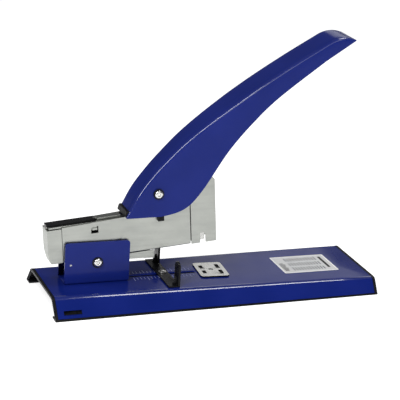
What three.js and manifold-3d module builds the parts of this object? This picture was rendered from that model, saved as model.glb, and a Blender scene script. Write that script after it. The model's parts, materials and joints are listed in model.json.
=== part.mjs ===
// Heavy-duty desktop stapler, in millimetres, +Z up.
// The origin is under the middle of the base, on the surface that it stands on.
// +X runs from the hinge end to the paper end, so the handle is pressed down at +X.
import * as THREE from "three";
import { mergeVertices } from "three/addons/utils/BufferGeometryUtils.js";
import Module from "manifold-3d";

const wasm = await Module();
wasm.setup();

// ---------- driving dimensions ----------
const DEG = Math.PI / 180;
const GAP = 0.3; // clearance between pieces that touch
const SHEET = 1.2; // thickness of the base's steel sheet

// Base: a folded channel that is a little taller at the hinge end.
const BASE_LENGTH = 290;
const BASE_HEIGHT_REAR = 16.1;
const BASE_HEIGHT_FRONT = 13.2;
const BASE_HALF_TOP = 35.5;
const BASE_HALF_TOP_FRONT = 42;
const BASE_HALF_BOTTOM = 50.5;
const BASE_BEND = 3.2; // how far the rounded top bends reach from their corners
const BASE_FACET = 30; // longest edge left on the base's slightly twisted sides
const PAN_SHEET = 1;
const RIM_WIDTH = 2.4; // black edging at both ends
const RIM_FOOT = 1.4; // black edging under the sides
const LIP_INNER = 40; // the in-turned lips that the base stands on
const BASE_TAPER = (1 - BASE_HEIGHT_FRONT / BASE_HEIGHT_REAR) / BASE_LENGTH;
const DECK_SLOPE = Math.atan((BASE_HEIGHT_REAR - BASE_HEIGHT_FRONT) / BASE_LENGTH);
const BASE_DEPTH = SHEET + 2 * GAP + PAN_SHEET; // the deck's layers together
const SIDE_SLOT = { rear: 8, front: 23.5, low: 3.6, high: 6.8 };

// Bracket on the deck, which carries the head.
const BRACKET = { rear: 17.3, front: 73.9, half: 10.6, wall: 1.5, height: 36.8, corner: 2.7 };
const PIVOT_X = 45.8;
const PIVOT_HEIGHT = 18.7;
const RIVET_X = [27, 60];
const RIVET_R = 1.9;

// Paper guide, anvil and label along the deck.
const GUIDE = { rear: 102.5, front: 112.5, half: 33.5, plate: 1.5, height: 21 };
const FINGER = { inner: 22.5, outer: 33.5, depth: 1.9, crown: 5.2 };
const GUSSET = 8;
const GUIDE_SCREW_R = 1.9;
const SLOT = { rear: 77, front: 138, half: 2.3 };
const ANVIL = { x: 152, length: 25.4, width: 33, thick: 1.2, corner: 3, turn: -4 };
const GROOVES = [
  { x: -7.4, inner: 2.6, outer: 9.6 },
  { x: 7.4, inner: 2.2, outer: 11.5 },
];
const LABEL = { rear: 214.5, front: 265.5, half: 19.7, thick: 0.25 };

// Head, in its own frame: u along the head from the hinge screw, w up, y across.
const HEAD_PITCH = 4.5 * DEG + DECK_SLOPE;
const HEAD_WALL = 1.0;
const HEAD_HALF = 8;
const HEAD_FLOOR = 3.1;
const HEAD_TOP = 34.1; // cheeks at the hinge end, from where they rise to the ears
const HEAD_TOP_EARS = 36.4;
const CAP_FRONT = -28.9; // joint between the rear cap and the frame
const CAP_REAR = -41.4;
const CAP_TOP = 33.2;
const NOSE_REAR = 84.6; // joint between the frame and the nose
const NOSE_FRONT = 107;
const NOSE_TOP = 60.9;
const NOSE_HALF = 8.9;
const SCREW_R = 2.6; // shank of the hinge screw and of the handle pin
const RUNNING = 0.3; // clearance of the holes that turn on them

// Handle pin, in the head's frame, and the drive pin, in the handle's.
const PIN_U = 55.1;
const PIN_W = 54.1;
const HANDLE_TILT = 4.5 * DEG; // stands the handle's own frame level
const DRIVE_X = 42.6;
const DRIVE_Z = 5.26;
const DRIVE_R = 2;
const DRIVE_U = PIN_U + DRIVE_X * Math.cos(HANDLE_TILT) + DRIVE_Z * Math.sin(HANDLE_TILT);
const DRIVE_W = PIN_W - DRIVE_X * Math.sin(HANDLE_TILT) + DRIVE_Z * Math.cos(HANDLE_TILT);

// Top of the head: a cover between the cheeks, and the release lever and rail on it.
const COVER = { rear: -39.4, front: 37, low: CAP_TOP + GAP, high: 35.1, half: 6.6 };
const TOP_LOW = COVER.high + GAP;
const TOP_HIGH = 37;
const TOP_HALF = 3.8;
const LEVER_PIN_U = 1.6;
const LEVER_PIN_W = (TOP_LOW + TOP_HIGH) / 2;
const LEVER_PIN_R = 0.4;

// Staple track inside the head.
const RAIL = { rear: CAP_FRONT + GAP, front: 92, low: 4.8, high: 21.5, half: 5.6, wall: 0.9 };
const STAPLES = { rear: 44, front: 97.5, low: 5, high: 22.8, half: 6.7, wall: 0.8 };
const PUSHER_LENGTH = 15.7;
const ROD_W = 12;
const BLADE = { rear: 98.5, front: 100, half: 6.3, low: 26.3, high: 47.7 };

const ROUND = 24; // sides of a round piece

// ---------- materials ----------
function material(colour, roughness, metalness) {
  return new THREE.MeshStandardMaterial({ color: colour, roughness, metalness });
}

const BLUE = () => material(0x1b2a86, 0.35, 0.1);
const SATIN = () => material(0xb4b8b0, 0.38, 0.85);
const NICKEL = () => material(0xdadad2, 0.22, 0.95);
const BLACK = () => material(0x14141a, 0.5, 0.0);
const SPRING = () => material(0x8f9296, 0.3, 0.9);
const WHITE = () => material(0xf0f0ee, 0.5, 0.0);

// ---------- solids ----------
function solid(geometry) {
  const plain = geometry.clone();
  plain.deleteAttribute("normal");
  plain.deleteAttribute("uv");
  const merged = mergeVertices(plain, 1e-5);
  const positions = Float32Array.from(merged.attributes.position.array);
  const triangles = Uint32Array.from(merged.index.array);
  return new wasm.Manifold(new wasm.Mesh({ numProp: 3, vertProperties: positions, triVerts: triangles }));
}

function toGeometry(body) {
  const mesh = body.getMesh();
  const points = new Float32Array((mesh.vertProperties.length / mesh.numProp) * 3);
  for (let i = 0; i < points.length / 3; i += 1) {
    for (let k = 0; k < 3; k += 1) points[i * 3 + k] = mesh.vertProperties[i * mesh.numProp + k];
  }
  const geometry = new THREE.BufferGeometry();
  geometry.setAttribute("position", new THREE.BufferAttribute(points, 3));
  geometry.setIndex(Array.from(mesh.triVerts));
  geometry.computeVertexNormals();
  return geometry;
}

function box(x, y, z) {
  const geometry = new THREE.BoxGeometry(x[1] - x[0], y[1] - y[0], z[1] - z[0]);
  geometry.translate((x[0] + x[1]) / 2, (y[0] + y[1]) / 2, (z[0] + z[1]) / 2);
  return solid(geometry);
}

function shape(points) {
  return new THREE.Shape(points.map(([a, b]) => new THREE.Vector2(a, b)));
}

// A side outline in (x, z), pushed across from y[0] to y[1].
function across(outline, y, curveSegments = 8) {
  const options = { depth: y[1] - y[0], bevelEnabled: false, curveSegments };
  const geometry = new THREE.ExtrudeGeometry(outline, options);
  geometry.rotateX(Math.PI / 2);
  geometry.translate(0, y[1], 0);
  return solid(geometry);
}

// A section in (y, z), pushed along from x[0] to x[1].
function along(section, x, curveSegments = 6) {
  const options = { depth: x[1] - x[0], bevelEnabled: false, curveSegments };
  const geometry = new THREE.ExtrudeGeometry(section, options);
  const turn = new THREE.Matrix4().set(0, 0, 1, x[0], 1, 0, 0, 0, 0, 1, 0, 0, 0, 0, 0, 1);
  geometry.applyMatrix4(turn);
  return solid(geometry);
}

// A plan outline in (x, y), pushed up from z[0] to z[1].
function upward(plan, z, curveSegments = 6) {
  const geometry = new THREE.ExtrudeGeometry(plan, { depth: z[1] - z[0], bevelEnabled: false, curveSegments });
  geometry.translate(0, 0, z[0]);
  return solid(geometry);
}

// A turned piece about a line through (x, z) that runs across; profile holds [radius, y].
function turnedAcross(profile, x, z, sides = ROUND) {
  const geometry = new THREE.LatheGeometry(profile.map(([r, y]) => new THREE.Vector2(r, y)), sides);
  geometry.translate(x, 0, z);
  return solid(geometry);
}

// A turned piece about an upright line through (x, y); profile holds [radius, z].
function turnedUp(profile, x, y, sides = ROUND) {
  const geometry = new THREE.LatheGeometry(profile.map(([r, z]) => new THREE.Vector2(r, z)), sides);
  geometry.rotateX(Math.PI / 2);
  geometry.translate(x, y, 0);
  return solid(geometry);
}

// A plain rod across the head, used as a pin or to cut a hole.
function rodAcross(r, y, x, z, sides = ROUND) {
  return turnedAcross([[0, y[0]], [r, y[0]], [r, y[1]], [0, y[1]]], x, z, sides);
}

function rodUp(r, z, x, y, sides = ROUND) {
  return turnedUp([[0, z[0]], [r, z[0]], [r, z[1]], [0, z[1]]], x, y, sides);
}

function roundedRect(x0, x1, y0, y1, r) {
  const plan = new THREE.Shape();
  plan.moveTo(x0 + r, y0);
  plan.lineTo(x1 - r, y0);
  plan.absarc(x1 - r, y0 + r, r, -Math.PI / 2, 0);
  plan.lineTo(x1, y1 - r);
  plan.absarc(x1 - r, y1 - r, r, 0, Math.PI / 2);
  plan.lineTo(x0 + r, y1);
  plan.absarc(x0 + r, y1 - r, r, Math.PI / 2, Math.PI);
  plan.lineTo(x0, y0 + r);
  plan.absarc(x0 + r, y0 + r, r, Math.PI, 1.5 * Math.PI);
  return plan;
}

// A closed coil spring about +Z from z = 0 up to its height.
function coil({ radius, wire, height, turns, stepsPerTurn = 10, sides = 6 }) {
  const points = [];
  const steps = turns * stepsPerTurn;
  for (let i = 0; i <= steps; i += 1) {
    const angle = (i / stepsPerTurn) * 2 * Math.PI;
    const rise = wire / 2 + (height - wire) * (i / steps);
    points.push(new THREE.Vector3(radius * Math.cos(angle), radius * Math.sin(angle), rise));
  }
  const section = new THREE.Shape();
  section.absarc(0, 0, wire / 2, 0, 2 * Math.PI);
  const path = new THREE.CatmullRomCurve3(points);
  const options = { steps, extrudePath: path, bevelEnabled: false, curveSegments: sides };
  return new THREE.ExtrudeGeometry(section, options);
}

function part(parent, name, look, body) {
  const mesh = new THREE.Mesh(body instanceof THREE.BufferGeometry ? body : toGeometry(body), look);
  mesh.name = name;
  parent.add(mesh);
}

// ---------- groups ----------
const stapler = new THREE.Group();
stapler.name = "stapler";

// Base frame: x from the hinge end, z from the floor.
const base = new THREE.Group();
base.position.x = -BASE_LENGTH / 2;
stapler.add(base);

// Deck frame: z is measured square to the sloping top of the base.
const deck = new THREE.Group();
deck.position.z = BASE_HEIGHT_REAR;
deck.rotation.y = DECK_SLOPE;
base.add(deck);

const anvil = new THREE.Group();
anvil.position.x = ANVIL.x;
anvil.rotation.z = ANVIL.turn * DEG;
deck.add(anvil);

const head = new THREE.Group();
head.position.set(PIVOT_X, 0, PIVOT_HEIGHT);
head.rotation.y = -HEAD_PITCH;
deck.add(head);

const handle = new THREE.Group();
handle.position.set(PIN_U, 0, PIN_W);
handle.rotation.y = HANDLE_TILT;
head.add(handle);

// ---------- base ----------
// A channel section in (y, z): its outer face stands `outset` outside the base's own surface.
function channelSection(outset, thickness, foot) {
  const rise = BASE_HEIGHT_REAR;
  const slant = (BASE_HALF_BOTTOM - BASE_HALF_TOP) / rise;
  const sideways = Math.hypot(1, slant); // sheet thickness measured level, per unit square to it
  const toes = (d) => {
    const cornerY = BASE_HALF_TOP + d * (sideways - slant);
    const cornerZ = rise + d;
    const sideY = cornerY + (BASE_BEND * slant) / sideways;
    const sideZ = cornerZ - BASE_BEND / sideways;
    const footY = BASE_HALF_BOTTOM + d * sideways - foot * slant;
    return { cornerY, cornerZ, sideY, sideZ, footY, footZ: foot };
  };
  const outer = toes(outset);
  const inner = toes(outset - thickness);
  const section = new THREE.Shape();
  section.moveTo(outer.footY, outer.footZ);
  section.lineTo(outer.sideY, outer.sideZ);
  section.quadraticCurveTo(outer.cornerY, outer.cornerZ, outer.cornerY - BASE_BEND, outer.cornerZ);
  section.lineTo(-outer.cornerY + BASE_BEND, outer.cornerZ);
  section.quadraticCurveTo(-outer.cornerY, outer.cornerZ, -outer.sideY, outer.sideZ);
  section.lineTo(-outer.footY, outer.footZ);
  section.lineTo(-inner.footY, inner.footZ);
  section.lineTo(-inner.sideY, inner.sideZ);
  section.quadraticCurveTo(-inner.cornerY, inner.cornerZ, -inner.cornerY + BASE_BEND, inner.cornerZ);
  section.lineTo(inner.cornerY - BASE_BEND, inner.cornerZ);
  section.quadraticCurveTo(inner.cornerY, inner.cornerZ, inner.sideY, inner.sideZ);
  section.lineTo(inner.footY, inner.footZ);
  return section;
}

// Lowers a solid of even height to the base's wedge, and widens its top towards the front.
function wedge(body) {
  return body.refineToLength(BASE_FACET).warp((vertex) => {
    const share = vertex[2] / BASE_HEIGHT_REAR;
    const half = THREE.MathUtils.lerp(BASE_HALF_BOTTOM, BASE_HALF_TOP, share);
    const spread = ((BASE_HALF_TOP_FRONT - BASE_HALF_TOP) * share * vertex[0]) / BASE_LENGTH;
    vertex[1] *= 1 + spread / half;
    vertex[2] *= 1 - BASE_TAPER * vertex[0];
  });
}

// The holes through the deck's layers, in the base frame before it is wedged.
function deckHoles() {
  const z = [BASE_HEIGHT_REAR - 2 * BASE_DEPTH, BASE_HEIGHT_REAR + 1];
  let holes = upward(roundedRect(SLOT.rear, SLOT.front, -SLOT.half, SLOT.half, SLOT.half - 0.01), z);
  for (const x of [...RIVET_X, ANVIL.x]) holes = holes.add(rodUp(RIVET_R + GAP, z, x, 0, 16));
  return holes;
}

function makeBase() {
  const coverX = [RIM_WIDTH + GAP, BASE_LENGTH - RIM_WIDTH - GAP];
  let cover = along(channelSection(0, SHEET, RIM_FOOT + GAP), coverX).subtract(deckHoles());
  const slotX = [SIDE_SLOT.rear, SIDE_SLOT.front];
  for (const side of [-1, 1]) {
    const y = side < 0 ? [-60, -38] : [38, 60];
    cover = cover.subtract(box(slotX, y, [SIDE_SLOT.low, SIDE_SLOT.high]));
  }
  part(base, "base_cover", BLUE(), wedge(cover));

  // Edging: an arch at each end and a strip with an in-turned lip under each side.
  const ends = [0, BASE_LENGTH];
  const room = along(channelSection(3, 3 + BASE_DEPTH, RIM_FOOT), [RIM_WIDTH, BASE_LENGTH - RIM_WIDTH]);
  let edging = along(channelSection(0, SHEET + GAP, 0), ends).subtract(room);
  const strips = along(channelSection(0, BASE_DEPTH, 0), ends);
  edging = edging.add(strips.subtract(box([-1, BASE_LENGTH + 1], [-60, 60], [RIM_FOOT, BASE_HEIGHT_REAR + 1])));
  for (const side of [-1, 1]) {
    const edge = BASE_HALF_BOTTOM - BASE_DEPTH;
    const y = side < 0 ? [-edge, -LIP_INNER] : [LIP_INNER, edge];
    edging = edging.add(box(ends, y, [0, RIM_FOOT]));
  }
  part(base, "base_edging", BLACK(), wedge(edging));

  const pan = along(channelSection(-SHEET - 2 * GAP, PAN_SHEET, RIM_FOOT + GAP), [0.5, BASE_LENGTH - 0.5]);
  part(base, "base_pan", BLACK(), wedge(pan.subtract(deckHoles())));
}

// ---------- bracket and its fixings ----------
function makeBracket() {
  const lift = 0.1;
  const { rear, front, half, wall, height, corner } = BRACKET;
  const side = new THREE.Shape();
  side.moveTo(rear, lift);
  side.lineTo(front, lift);
  side.lineTo(front, height - corner);
  side.absarc(front - corner, height - corner, corner, 0, Math.PI / 2);
  side.lineTo(rear + corner, height);
  side.absarc(rear + corner, height - corner, corner, Math.PI / 2, Math.PI);
  side.lineTo(rear, lift);
  let bracket = across(side, [-half, half]);
  const channel = box([rear - 1, front + 1], [-half + wall, half - wall], [lift + wall, height + 1]);
  bracket = bracket.subtract(channel);
  bracket = bracket.subtract(rodAcross(SCREW_R + RUNNING, [-half - 1, half + 1], PIVOT_X, PIVOT_HEIGHT));
  for (const x of RIVET_X) bracket = bracket.subtract(rodUp(RIVET_R + GAP, [-1, 3], x, 0, 16));
  part(deck, "bracket", BLUE(), bracket);

  const headLow = lift + wall + GAP;
  const under = -BASE_DEPTH - GAP;
  RIVET_X.forEach((x, i) => {
    const profile = [[0, under - 1.4], [3.2, under - 1.4], [3.4, under], [RIVET_R, under], [RIVET_R, headLow],
      [3.6, headLow], [3.2, headLow + 0.9], [1.8, headLow + 1.4], [0, headLow + 1.5]];
    part(deck, i === 0 ? "bracket_rivet_rear" : "bracket_rivet_front", NICKEL(), turnedUp(profile, x, 0, 16));
  });
}

function makeHingeScrew() {
  const face = BRACKET.half;
  const screwHead = [[0, -face - 2.6], [1.9, -face - 2.5], [3.2, -face - 2.0], [3.8, -face - 1.2]];
  const shank = [[3.8, -face - 0.9], [SCREW_R, -face - 0.9], [SCREW_R, face + 4.4], [0, face + 4.4]];
  part(deck, "hinge_screw", NICKEL(), turnedAcross([...screwHead, ...shank], PIVOT_X, PIVOT_HEIGHT));
  const ring = [[SCREW_R + RUNNING, -face - 0.6], [4.8, -face - 0.6], [4.8, -face - 0.1]];
  const inner = [[SCREW_R + RUNNING, -face - 0.1], [SCREW_R + RUNNING, -face - 0.6]];
  part(deck, "hinge_washer", BLACK(), turnedAcross([...ring, ...inner], PIVOT_X, PIVOT_HEIGHT));
  const nut = turnedAcross([[0, face + GAP], [4.6, face + GAP], [4.6, face + 3.5], [0, face + 3.5]],
    PIVOT_X, PIVOT_HEIGHT, 6);
  const bore = rodAcross(SCREW_R + 0.05, [face, face + 5], PIVOT_X, PIVOT_HEIGHT);
  part(deck, "hinge_nut", NICKEL(), nut.subtract(bore));
}

function makeHeadSpring() {
  const floor = 0.1 + BRACKET.wall;
  const geometry = coil({ radius: 3.6, wire: 0.9, height: 16, turns: 6 });
  geometry.translate(PIVOT_X + 22.5, 0, floor + GAP);
  part(deck, "head_spring", SPRING(), solid(geometry));
}

// ---------- paper guide ----------
function makeGuide() {
  const lift = 0.1;
  const middle = (GUIDE.rear + GUIDE.front) / 2;
  const top = lift + GUIDE.plate;
  let guide = box([GUIDE.rear, GUIDE.front], [-GUIDE.half, GUIDE.half], [lift, top]);
  for (const side of [-1, 1]) {
    const y0 = side < 0 ? -FINGER.outer : FINGER.inner;
    const y1 = side < 0 ? -FINGER.inner : FINGER.outer;
    const finger = new THREE.Shape();
    finger.moveTo(y0, lift);
    finger.lineTo(y1, lift);
    finger.lineTo(y1, GUIDE.height - FINGER.crown);
    finger.absarc(y1 - FINGER.crown, GUIDE.height - FINGER.crown, FINGER.crown, 0, Math.PI / 2);
    finger.lineTo(y0 + FINGER.crown, GUIDE.height);
    finger.absarc(y0 + FINGER.crown, GUIDE.height - FINGER.crown, FINGER.crown, Math.PI / 2, Math.PI);
    finger.lineTo(y0, lift);
    guide = guide.add(along(finger, [GUIDE.front - FINGER.depth, GUIDE.front]));
    // A gusset behind each finger stiffens it.
    const webY = side * (FINGER.inner + FINGER.outer) / 2;
    const web = shape([[GUIDE.front - 6, lift], [GUIDE.front - 1, lift], [GUIDE.front - 1, GUSSET],
      [GUIDE.front - FINGER.depth - 0.5, GUSSET]]);
    guide = guide.add(across(web, [webY - 0.9, webY + 0.9]));
  }
  guide = guide.subtract(rodUp(GUIDE_SCREW_R + GAP, [-1, 3], middle, 0, 16));
  part(deck, "paper_guide", BLACK(), guide);

  const under = -BASE_DEPTH - GAP;
  const seat = top + 0.1;
  const profile = [[0, under - 2.6], [GUIDE_SCREW_R, under - 2.6], [GUIDE_SCREW_R, seat], [3.5, seat],
    [3.4, seat + 0.7], [2.6, seat + 1.25], [1.2, seat + 1.5], [0, seat + 1.5]];
  part(deck, "guide_screw", NICKEL(), turnedUp(profile, middle, 0));
  let nut = box([middle - 5.5, middle + 5.5], [-7, 7], [under - 2, under]);
  nut = nut.subtract(rodUp(GUIDE_SCREW_R + 0.05, [under - 3, under + 1], middle, 0, 16));
  part(deck, "guide_nut_plate", SATIN(), nut);
}

// ---------- anvil and label ----------
function makeAnvil() {
  const lift = 0.1;
  const { length, width, thick, corner } = ANVIL;
  const plan = roundedRect(-length / 2, length / 2, -width / 2, width / 2, corner);
  let plate = upward(plan, [lift, lift + thick]);
  const grooveHalf = 1.7;
  const grooveDepth = 0.7;
  for (const groove of GROOVES) {
    for (const side of [-1, 1]) {
      const y = side < 0 ? [-groove.outer, -groove.inner] : [groove.inner, groove.outer];
      const cut = box([groove.x - grooveHalf, groove.x + grooveHalf], y, [lift + thick - grooveDepth, 3]);
      plate = plate.subtract(cut);
    }
  }
  plate = plate.subtract(rodUp(RIVET_R + GAP, [-1, 3], 0, 0, 16));
  part(anvil, "anvil_plate", NICKEL(), plate);
  const under = -BASE_DEPTH - GAP;
  const profile = [[0, under - 1.4], [3.4, under - 1.4], [3.4, under], [RIVET_R, under],
    [RIVET_R, lift + thick - 0.2], [RIVET_R - 0.3, lift + thick], [0, lift + thick]];
  part(anvil, "anvil_rivet", SATIN(), turnedUp(profile, 0, 0));
}

function makeLabel() {
  const plan = roundedRect(LABEL.rear, LABEL.front, -LABEL.half, LABEL.half, 1);
  part(deck, "size_label", WHITE(), upward(plan, [0.1, 0.1 + LABEL.thick], 3));
}

// ---------- head ----------
const LUG_R = 7;
const EAR_R = 9;
const FRAME_FRONT_TOP = 44; // the frame rises behind the nose

function makeFrame() {
  const rear = CAP_FRONT + GAP;
  const front = NOSE_REAR - 2 * GAP;
  const side = new THREE.Shape();
  side.moveTo(rear, HEAD_FLOOR);
  side.lineTo(-LUG_R - 4, HEAD_FLOOR);
  side.lineTo(-LUG_R, 0);
  side.absarc(0, 0, LUG_R, Math.PI, 2 * Math.PI);
  side.lineTo(LUG_R + 4, HEAD_FLOOR);
  side.lineTo(front, HEAD_FLOOR);
  side.lineTo(front, FRAME_FRONT_TOP);
  side.lineTo(front - 5, FRAME_FRONT_TOP);
  side.lineTo(PIN_U + 20, HEAD_TOP + 3);
  side.absarc(PIN_U, PIN_W, EAR_R, -0.1, 2.8);
  side.lineTo(PIN_U - 17, HEAD_TOP_EARS);
  side.lineTo(rear, HEAD_TOP);
  let frame = across(side, [-HEAD_HALF, HEAD_HALF], 12);
  const inner = [-HEAD_HALF + HEAD_WALL, HEAD_HALF - HEAD_WALL];
  frame = frame.subtract(box([rear - 1, front + 1], inner, [HEAD_FLOOR + SHEET, PIN_W + 2 * EAR_R]));
  frame = frame.subtract(box([-LUG_R - 5, LUG_R + 5], inner, [-LUG_R - 1, HEAD_FLOOR]));
  const ends = [-HEAD_HALF - 1, HEAD_HALF + 1];
  frame = frame.subtract(rodAcross(SCREW_R + RUNNING, ends, 0, 0));
  frame = frame.subtract(rodAcross(SCREW_R + RUNNING, ends, PIN_U, PIN_W));
  // A window in each cheek, with the tab that was pushed out of it.
  const hole = { rear: -3.5, front: 2.8, low: 25.5, high: 29.2, notch: 2.3 };
  frame = frame.subtract(box([hole.rear, hole.front], ends, [hole.low, hole.high]));
  frame = frame.subtract(box([hole.front - 1.2, hole.front], ends, [hole.high - 1, hole.high + hole.notch]));
  for (const sign of [-1, 1]) {
    const y = [HEAD_HALF - 0.5, HEAD_HALF + 1.1].map((v) => sign * v).sort((a, b) => a - b);
    frame = frame.add(box([hole.rear + 0.8, hole.front - 1.2], y, [hole.high - 0.5, hole.high + 1.2]));
  }
  part(head, "head_frame", SATIN(), frame);
}

const ARM_TOP = HEAD_FLOOR - 0.8;
const ARM_BOSS = 6.5;
const ARM_FRONT = 51.4;

// Outline of the arm under the frame, with its lower edge raised by `inset`.
function armOutline(inset) {
  const side = new THREE.Shape();
  side.moveTo(-ARM_BOSS, ARM_TOP + inset);
  side.lineTo(-ARM_BOSS, inset);
  side.absarc(0, inset, ARM_BOSS, Math.PI, 1.8 * Math.PI);
  side.lineTo(28.6, -2.8 + inset);
  side.lineTo(ARM_FRONT, -5.1 + inset);
  side.lineTo(ARM_FRONT, ARM_TOP + inset);
  return side;
}

function makeLiftArm() {
  const half = 6.7;
  const wall = 1;
  let arm = across(armOutline(0), [-half, half], 10);
  arm = arm.subtract(across(armOutline(wall), [-half + wall, half - wall], 10));
  arm = arm.subtract(rodAcross(SCREW_R + RUNNING, [-half - 1, half + 1], 0, 0));
  part(head, "lift_arm", SATIN(), arm);
}

function makeNose() {
  const crown = 3;
  const side = new THREE.Shape();
  side.moveTo(NOSE_REAR, HEAD_FLOOR);
  side.lineTo(NOSE_FRONT, HEAD_FLOOR);
  side.lineTo(NOSE_FRONT, NOSE_TOP - crown);
  side.absarc(NOSE_FRONT - crown, NOSE_TOP - crown, crown, 0, Math.PI / 2);
  side.lineTo(NOSE_REAR, NOSE_TOP);
  let nose = across(side, [-NOSE_HALF, NOSE_HALF]);
  const inner = [-NOSE_HALF + HEAD_WALL, NOSE_HALF - HEAD_WALL];
  const roofLow = NOSE_TOP - HEAD_WALL;
  nose = nose.subtract(box([NOSE_REAR - 1, NOSE_FRONT - SHEET], inner, [HEAD_FLOOR - 1, roofLow - 1]));
  nose = nose.subtract(box([NOSE_REAR - 1, NOSE_FRONT - 2 * SHEET], inner, [HEAD_FLOOR, roofLow]));
  // A notch in the lower edge of both cheeks shows the staple that is next.
  const notch = roundedRect(92.4, 97.4, HEAD_FLOOR - 5, 12.2, 1.5);
  nose = nose.subtract(across(notch, [-NOSE_HALF - 1, NOSE_HALF + 1]));
  part(head, "nose_housing", SATIN(), nose);
}

// A flat channel that opens downwards.
function lid(x, half, z, wall) {
  const body = box(x, [-half, half], z);
  return body.subtract(box([x[0] + wall, x[1] - wall], [-half + wall, half - wall], [z[0] - 1, z[1] - wall]));
}

function makeTop() {
  part(head, "top_cover", SATIN(), lid([COVER.rear, COVER.front], COVER.half, [COVER.low, COVER.high], 0.6));

  const tongueHalf = 2.2;
  const hinge = rodAcross(LEVER_PIN_R + 0.1, [-8, 8], LEVER_PIN_U, LEVER_PIN_W, 12);
  const railRear = LEVER_PIN_U + 1.6;
  let rail = box([railRear, 24], [-TOP_HALF, TOP_HALF], [TOP_LOW, TOP_HIGH]);
  rail = rail.add(box([LEVER_PIN_U - 1.5, railRear + 1], [-tongueHalf, tongueHalf], [TOP_LOW, TOP_HIGH]));
  part(head, "top_rail", SATIN(), rail.subtract(hinge));
  const pinHalf = TOP_HALF + 0.1;
  part(head, "lever_pin", BLACK(), rodAcross(LEVER_PIN_R, [-pinHalf, pinHalf], LEVER_PIN_U, LEVER_PIN_W, 12));

  // The lever's two cheeks straddle the rail's tongue on the pin.
  const rear = -40.8;
  const side = new THREE.Shape();
  side.moveTo(rear, TOP_LOW);
  side.lineTo(LEVER_PIN_U - 2, TOP_LOW);
  side.absarc(LEVER_PIN_U, LEVER_PIN_W, TOP_HIGH - LEVER_PIN_W, 1.5 * Math.PI, 2.5 * Math.PI);
  side.lineTo(LEVER_PIN_U - 2, TOP_HIGH);
  side.lineTo(rear, TOP_HIGH);
  let lever = across(side, [-TOP_HALF, TOP_HALF], 6);
  const straddle = tongueHalf + GAP;
  const front = LEVER_PIN_U + 2;
  lever = lever.subtract(box([rear + 1.2, front], [-straddle, straddle], [TOP_LOW - 1, TOP_HIGH - 0.9]));
  lever = lever.subtract(box([LEVER_PIN_U - 2.2, front], [-straddle, straddle], [TOP_LOW - 1, TOP_HIGH + 1]));
  part(head, "release_lever", BLACK(), lever.subtract(hinge));
}

// ---------- handle pin and what sits on it ----------
const PIN_FACE = 13.7;

function makeHandlePin() {
  const face = PIN_FACE + 0.75;
  const near = [[0, -face - 1.7], [1.9, -face - 1.6], [3.1, -face - 1.1], [3.7, -face - 0.4], [3.7, -face]];
  const far = near.map(([r, y]) => [r, -y]).reverse();
  const shank = [[SCREW_R, -face], [SCREW_R, face]];
  part(head, "handle_pin", NICKEL(), turnedAcross([...near, ...shank, ...far], PIN_U, PIN_W));
  const bore = SCREW_R + 0.15;
  for (const [name, y0] of [["pin_washer_near", -PIN_FACE - 0.6], ["pin_washer_far", PIN_FACE + 0.1]]) {
    const ring = [[bore, y0], [4.7, y0], [4.7, y0 + 0.5], [bore, y0 + 0.5], [bore, y0]];
    part(head, name, BLACK(), turnedAcross(ring, PIN_U, PIN_W));
  }
  // Plastic spacers centre the handle on the frame; the tongue of each shows below the handle.
  const outer = 11.5;
  const inner = HEAD_HALF + GAP;
  for (const [name, y] of [["pin_spacer_near", [-outer, -inner]], ["pin_spacer_far", [inner, outer]]]) {
    let spacer = rodAcross(6, y, PIN_U, PIN_W);
    spacer = spacer.add(box([PIN_U - 0.5, PIN_U + 4.9], y, [PIN_W - 25.3, PIN_W - 2]));
    part(head, name, BLACK(), spacer.subtract(rodAcross(bore, [-20, 20], PIN_U, PIN_W)));
  }
  const length = 7.4;
  const spring = coil({ radius: 4.4, wire: 1.1, height: length, turns: 5 });
  spring.rotateX(Math.PI / 2);
  spring.translate(PIN_U, length / 2, PIN_W);
  part(head, "handle_spring", SPRING(), solid(spring));
}

// ---------- magazine ----------
// A rod or bore along the head.
function rodAlong(r, x, z, sides = 12) {
  const geometry = new THREE.CylinderGeometry(r, r, x[1] - x[0], sides);
  geometry.rotateZ(Math.PI / 2);
  geometry.translate((x[0] + x[1]) / 2, 0, z);
  return solid(geometry);
}

// Side outline of the rear cap; `inset` gives its hollow, open at the front.
function capOutline(inset) {
  const front = CAP_FRONT + (inset > 0 ? 1 : 0);
  const low = HEAD_FLOOR + inset;
  const high = CAP_TOP - inset;
  const rear = CAP_REAR + inset;
  return shape([[front, low], [front, high], [rear, high], [rear, 12], [rear + 1.8, low]]);
}

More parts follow.
